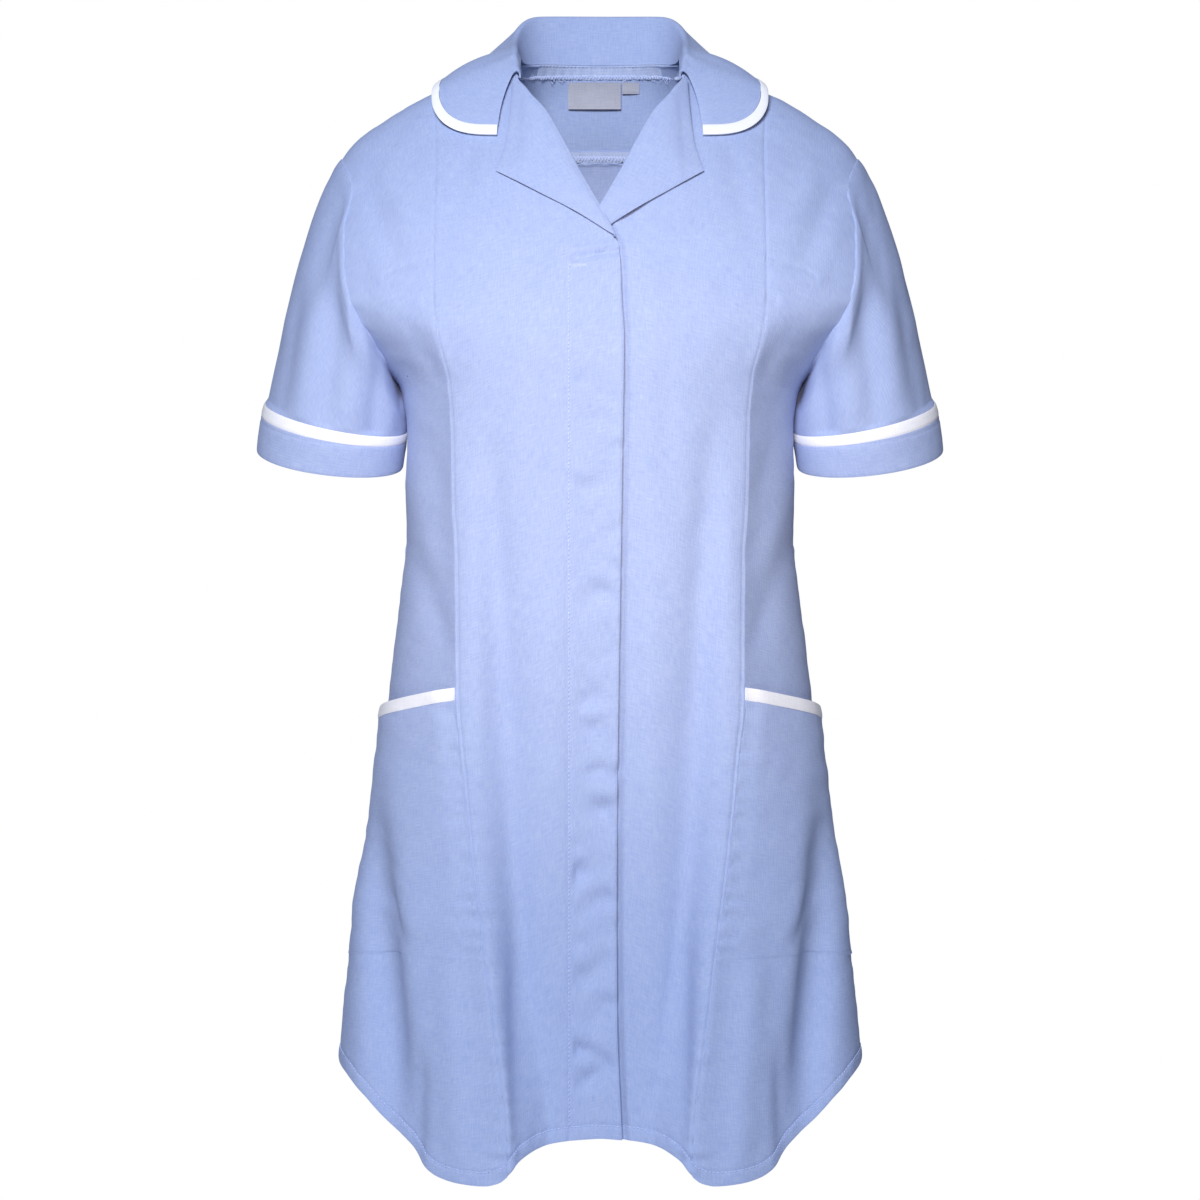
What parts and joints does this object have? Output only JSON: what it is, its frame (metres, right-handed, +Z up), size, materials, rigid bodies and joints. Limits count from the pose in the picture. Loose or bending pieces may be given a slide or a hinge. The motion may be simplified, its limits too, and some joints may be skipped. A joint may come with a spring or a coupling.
{
  "type": "maternity tunic",
  "caption": "Filled-out short-sleeved maternity tunic with revere lapels, round bound collar, princess seams, fly front, piped cuffs and bound hip pockets, open at neck, sleeves and hem.",
  "frame": {"origin": "on the centre line between the two points where the neck meets the shoulders, where the wearer's shoulders hold the tunic up", "axes": "+Z up, -Y to the wearer's front, +X to the wearer's left"},
  "size_m": [0.5162, 0.2519, 0.871],
  "materials": {
    "blue_cloth": "plain-weave poly-cotton, dyed hospital blue, slight sheen",
    "white_binding": "white plain-weave binding",
    "label_tape": "bare satin label tape"
  },
  "bodies": {
    "root": {"back_panel": "blue_cloth", "back_yoke": "blue_cloth", "collar": "blue_cloth", "collar_binding": "white_binding", "cuff_left": "blue_cloth", "cuff_piping_left": "white_binding", "cuff_piping_right": "white_binding", "cuff_right": "blue_cloth", "front_centre_left": "blue_cloth", "front_centre_right": "blue_cloth", "front_side_left": "blue_cloth", "front_side_right": "blue_cloth", "lapel_left": "blue_cloth", "lapel_right": "blue_cloth", "neck_label": "label_tape", "pocket_binding_left": "white_binding", "pocket_binding_right": "white_binding", "pocket_left": "blue_cloth", "pocket_right": "blue_cloth", "size_tab": "label_tape", "sleeve_left": "blue_cloth", "sleeve_right": "blue_cloth"}
  },
  "joints": []
}
